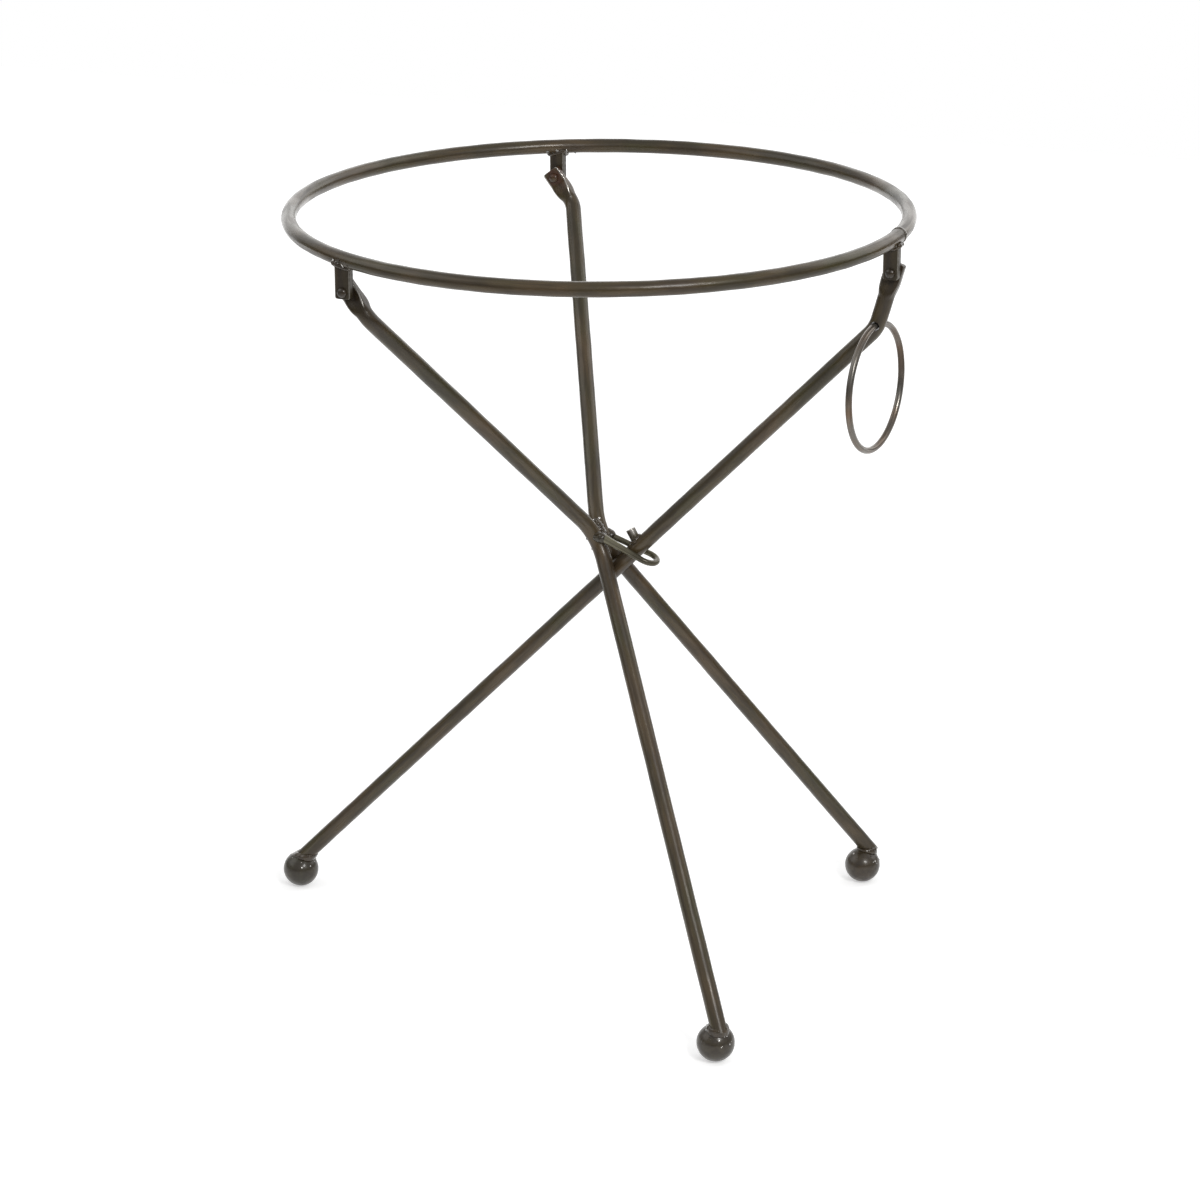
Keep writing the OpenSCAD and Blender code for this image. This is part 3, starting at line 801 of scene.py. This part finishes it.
inner_path = crossing - valley_out * inner_off + (share * inner_half - inner_lower) * valley_dir
inner_piece = bead(
    "cross_bead_inner", inner_path, -valley_out * inner_thick, -across_stand * inner_wide,
    ripples=7, seed=73, closed=False,
)
fitted(inner_piece, weld_lacquer, "frame", None)

for number, (side, (points, sides, ups)) in enumerate(knees.items()):
    draw = np.random.default_rng(131 + number)
    nearest = np.argmin(np.linalg.norm(points - crossing, axis=-1))
    away = draw.normal(size=cross_drops) * cross_drop_spread
    along = nearest + np.round(away / leg_step).astype(int)
    angle = draw.normal(size=cross_drops) * 0.75
    drop_out = np.cos(angle)[:, None] * sides[along] + np.sin(angle)[:, None] * ups[along]
    drop_at = points[along] + drop_out * (leg_bar - 0.0001)
    sizes = draw.uniform(drop_least, drop_most, cross_drops)
    drops(f"cross_{side}_spatter", drop_at, drop_out, sizes, "frame")


# Keeper loop
# A U of 4.2 mm wire whose ends are welded to the knees. The sliding leg passes through it. Its
# front arm is bent up a little towards its root, and thick with weld there.
keeper_wire = 0.0021
keeper_half = 0.0081
keeper_root = 0.005
keeper_turn = 0.036652
keeper_slope = np.radians(18.8533)
keeper_lift = 0.0035
keeper_swelling = 0.4
keeper_lump = 0.0039
keeper_pale = (0.190, 0.176, 0.120)
keeper_tint = (0.100, 0.088, 0.055)
soot_black = (0.030, 0.027, 0.024)


def drawn_wire(name, pale, tint, soot_share, metal):
    """Drawn wire: two colours in clouds, fine lines along it and patches of soot."""
    material = bpy.data.materials.new(name)
    material.use_nodes = True
    tree = material.node_tree
    skin = tree.nodes["Principled BSDF"]
    skin.inputs["Metallic"].default_value = metal
    bar = tree.nodes.new("ShaderNodeAttribute")
    bar.attribute_name = "bar"
    where = bar.outputs["Vector"]
    clouds = noise(tree, where, scale=30.0, low=0.42, high=0.64)
    lines = noise(tree, where, scale=1500.0, low=0.3, high=0.7, stretch=(0.02, 1.0, 1.0))
    soot = noise(tree, where, scale=90.0, low=0.5, high=0.72, stretch=(0.3, 1.0, 1.0))
    colour = laid_on(tree, pale, tint, clouds)
    colour = laid_on(tree, colour, soot_black, product(tree, soot, soot_share))
    colour = laid_on(tree, colour, lacquer_dark, product(tree, lines, 0.4))
    tree.links.new(colour, skin.inputs["Base Color"])
    tree.links.new(between(tree, lines, low=0.18, high=0.36), skin.inputs["Roughness"])
    bump = tree.nodes.new("ShaderNodeBump")
    bump.inputs["Strength"].default_value = 0.3
    bump.inputs["Distance"].default_value = 0.0001
    tree.links.new(lines, bump.inputs["Height"])
    tree.links.new(bump.outputs["Normal"], skin.inputs["Normal"])
    return material


keeper_dir = np.array([np.cos(keeper_slope), 0.0, -np.sin(keeper_slope)])
keeper_y = across_stand * keeper_half
far = crossing + keeper_dir * (keeper_turn + keeper_half)
root = crossing + keeper_dir * keeper_root
corners = [root + keeper_y, far + keeper_y, far - keeper_y, root - keeper_y]
across = np.cross(across_stand, keeper_dir)
points, sides, ups, run = bent_path(corners, [keeper_half, keeper_half], across, step=0.0006)
outline = round_outline(run, 28, keeper_wire - 0.00005, 0.00006, seed=81)
front = np.clip(-points[:, 1] / keeper_half, 0, 1)
back = np.clip(((far - points) @ keeper_dir) / keeper_turn, 0, 1)
points[:, 2] += keeper_lift * front * back
outline = outline * (1 + keeper_swelling * front * back**2)[:, None, None]
grid, marks = carried(points, sides, ups, outline, run)
keeper_piece = grid_mesh("keeper_wire", grid, marks)
keeper_finish = drawn_wire("keeper_lacquer", keeper_pale, keeper_tint, soot_share=0.4, metal=0.5)
fitted(keeper_piece, keeper_finish, "frame", "keeper_loop")

t = np.linspace(0.1, np.pi - 0.1, 40)
for side, mirror in (("rear", 1.0), ("front", -1.0)):
    centre = root + keeper_y * mirror * 1.04
    centre[2] += keeper_lift * 0.8 * (mirror < 0)
    lump = turned(
        f"keeper_{side}_blob", centre, keeper_dir, across_stand,
        -keeper_lump * 1.35 * np.cos(t), keeper_lump * np.sin(t),
        seed=int(90 + mirror), height=0.0005,
    )
    fitted(lump, weld_lacquer, "frame", f"keeper_weld_{side}")


# Sliding leg
# The third length of 11 mm bar. It hangs from its own lug, bends 4 cm below the hinge where the
# hang ring goes through, and runs down through the keeper loop to the third foot.
slide_pin = np.array([0.203, 0.0, pin_height])
slide_bend = np.array([0.192, 0.0, 0.4585])
slide_bend_radius = 0.024
slide_end = np.array([-0.230, 0.0, seat_height])
slide_edge_wear = 0.4
hang_hole = np.array([0.19227, 0.0, 0.46065])
hang_hole_radius = 0.0031

tip = slide_pin + unit(slide_pin - slide_bend) * tab_past
path = bent_path([tip, slide_bend, slide_end], [slide_bend_radius], across_stand, leg_step)
points, sides, ups, run = finer_start(*path, tab_rows)
outline, wear = leg_outline(run, 64, slide_edge_wear)
grid, marks = carried(points, sides, ups, outline, run, wear)
slide_dir = unit(slide_bend - slide_end)
grid, marks = level_end(grid, marks, -slide_dir, seat_height)
slide_piece = grid_mesh("sliding_leg_bar", grid, marks)
drilled(slide_piece, [(slide_pin, pin_hole_radius), (hang_hole, hang_hole_radius)])
fitted(slide_piece, leg_lacquer["front"], "slide_leg", "sliding_leg")


# Stop stub
# A short stub of 6.6 mm bar, sawn off square and welded upright on the sliding leg, so that the
# keeper loop can't ride up past it. Its sawn end shows bare metal, and the flank that faces the
# key lamp and the camera is made bare and bright as a painted highlight.
stop_bar = 0.0033
stop_foot = np.array([0.0287664, 0.0, 0.290369])
stop_dir = np.array([-0.497682, 0.0, 0.86736])
stop_side = np.cross(stop_dir, across_stand)
stop_length = leg_bar / np.cos(np.radians(16)) + 0.0076
stop_bead = 0.0013
lit_flank_angle = 225

sawn_edge = [stop_length - 0.0003, stop_length - 0.0001, stop_length, stop_length]
run = np.array([0.0, 0.002, 0.004, 0.006, 0.008, 0.010, 0.012, 0.0128, *sawn_edge])
radii = np.array([1] * 9 + [0.97, 0.93, 0.3]) * (stop_bar - 0.00005)
sawn_end_and_highlight = np.array([0] * 7 + [0.1, 0.6, 1, 1, 1])[:, None]
degrees = np.linspace(0, 360, turned_columns, endpoint=False)
# painted highlight: the flank that faces the key lamp and the camera is made bare metal from 8 mm
# up
flank = np.clip(1.6 - np.abs(degrees - lit_flank_angle) / 25, 0, 1)
sawn_end_and_highlight = np.maximum(sawn_end_and_highlight, flank * np.clip((run[:, None] - 0.008) / 0.004, 0, 0.9))
stop_piece = turned(
    "stop_stub_bar", stop_foot, stop_dir, across_stand, run, radii,
    seed=66, height=0.00005, worn=sawn_end_and_highlight,
)
fitted(stop_piece, bar_lacquer, "slide_leg", "stop_stub")

# up the stub from its foot until the sliding leg's round skin is met: |flat part| = leg_bar
t, round_stub = once_round(64, across_stand, stop_side)
off = round_stub * (stop_bar + 0.0002)
off_flat = off - (off @ slide_dir)[:, None] * slide_dir
up_flat = stop_dir - (stop_dir @ slide_dir) * slide_dir
dot, square = off_flat @ up_flat, up_flat @ up_flat
lift = (-dot + np.sqrt(dot**2 - square * ((off_flat**2).sum(1) - leg_bar**2))) / square
stop_path = stop_foot + off + lift[:, None] * stop_dir
stop_weld = bead(
    "stop_bead", stop_path, round_stub * stop_bead, -stop_dir * stop_bead, ripples=13, seed=67
)
fitted(stop_weld, weld_lacquer, "slide_leg", "stop_weld")


# Hang ring
# A ring of 4.5 mm drawn wire without lacquer, butt welded inside its hole in the sliding leg.
# It is brighter than the rest, with a straw and bronze tint where it was heated.
hang_radius = 0.0415
hang_wire = 0.00225
hang_low = 0.0001
hang_turn = np.radians(6.5)
hang_waves = 0.00003
hang_pale = (0.200, 0.186, 0.165)
hang_tint = (0.180, 0.125, 0.085)

hang_level = np.array([np.sin(hang_turn), np.cos(hang_turn), 0.0])
t, outward = once_round(300, up, hang_level)
middle = hang_hole - up * (hang_low + hang_radius) + outward * hang_radius
run = hang_radius * t
outline = round_outline(run, 32, hang_wire - hang_waves, hang_waves, seed=83)
grid, marks = carried(middle, outward, np.cross(hang_level, up), outline, run)
hang_piece = grid_mesh("hang_ring_wire", grid, marks, closed=True)
hang_finish = drawn_wire("hang_wire_bare", hang_pale, hang_tint, soot_share=0.6, metal=0.7)
fitted(hang_piece, hang_finish, "hanger", "hang_ring")


# Ball feet
# Forged balls of 25 mm, a little dented, standing on a small flat.
ball_r = 0.0125
ball_height = 0.012339
ball_proud = 0.00008
ball_rows = 72
ball_columns = 120
ball_dents = 26
feet = {
    "rear": (np.array([0.1425, 0.1555, ball_height]), frame_end, crossing, "frame"),
    "front": (np.array([0.1425, -0.1555, ball_height]), frame_end * [1, -1, 1], crossing, "frame"),
    "slide": (np.array([-0.234, 0.0, ball_height]), slide_end, slide_bend, "slide_leg"),
}
ball_lacquer = lacquered_iron(
    "ball_lacquer", tone=0.55, roughness=0.34, pits=0.9, coat=0.4, drawn=1.0
)

lat = np.linspace(0.03, np.pi - 0.03, ball_rows)[:, None]
lon = np.linspace(0, 2 * np.pi, ball_columns, endpoint=False)[None, :]
way = np.stack([np.sin(lat) * np.cos(lon), np.sin(lat) * np.sin(lon), -np.cos(lat) + 0 * lon], -1)
for number, (side, (centre, _, _, body)) in enumerate(feet.items()):
    draw = np.random.default_rng(100 + number)
    spots = draw.normal(size=(ball_dents, 3))
    spots /= np.linalg.norm(spots, axis=-1, keepdims=True)
    width = draw.uniform(0.06, 0.2, ball_dents)
    depth = draw.uniform(0.00004, 0.00016, ball_dents)
    # each dent is d exp(-2 (1 - cos a) / w^2), at an angle a from its spot
    apart = 1 - np.einsum("ijk,nk->ijn", way, spots)
    dents = (depth * np.exp(-2 * apart / width**2)).sum(-1)
    grid = centre + way * (ball_r + ball_proud - dents)[..., None]
    grid[..., 2] = np.maximum(grid[..., 2], 0.0)
    marks = np.concatenate([grid, np.zeros((ball_rows, ball_columns, 1))], axis=-1)
    ball_piece = grid_mesh(f"ball_{side}_forged", grid, marks)
    fitted(ball_piece, ball_lacquer, body, f"ball_{side}")


# Foot welds
# A fillet run round the end of each leg, from the bar's side down on to the ball, with spatter
# on the top of the ball.
fillet_up = 0.0021
fillet_down = 0.0022
fillet_wider = 1.12
fillet_sunk = 0.0002
fillet_bulge = 0.0017
ball_drops = 70
ball_drop_most = 0.0009

for number, (side, (centre, end, top, body)) in enumerate(feet.items()):
    way = unit(end - top)
    across = unit(np.cross(way, up))
    t, rim = once_round(84, across, np.cross(way, across))
    rim = leg_bar * rim
    # the bar's skin is followed along the leg to the level of the weld's top and of the leg's end
    on_bar = end + rim + ((end[2] + fillet_up - (end + rim)[:, 2]) / way[2])[:, None] * way
    foot = end + rim + ((end[2] - (end + rim)[:, 2]) / way[2])[:, None] * way
    low = end + (foot - end) * fillet_wider - up * fillet_down - centre
    on_ball = centre + low / np.linalg.norm(low, axis=-1, keepdims=True) * (ball_r - fillet_sunk)
    path = (on_bar + on_ball) / 2
    chord = (on_bar - on_ball) / 2
    to_end = unit(end - centre)
    outward = path - end - ((path - end) @ to_end)[:, None] * to_end
    span = chord / np.linalg.norm(chord, axis=-1, keepdims=True)
    outward = outward - (outward * span).sum(1)[:, None] * span
    outward /= np.linalg.norm(outward, axis=-1, keepdims=True)
    # thick on both flanks of the leg, thin above and below it
    flank = 0.25 + 0.75 * np.cos(t)[:, None] ** 2
    fillet = bead(
        f"foot_{side}_fillet", path, outward * fillet_bulge * flank, chord * (0.75 + 0.4 * flank),
        ripples=15, seed=110 + number,
    )
    fitted(fillet, weld_lacquer, body, f"foot_weld_{side}")

    draw = np.random.default_rng(120 + number)
    lean = to_end + draw.normal(size=(ball_drops, 3)) * 0.45
    lean /= np.linalg.norm(lean, axis=-1, keepdims=True)
    lean = lean[lean[:, 2] > 0.1]
    sizes = draw.uniform(drop_least, ball_drop_most, len(lean))
    drops(f"ball_{side}_spatter", centre + lean * ball_r, lean, sizes, body)
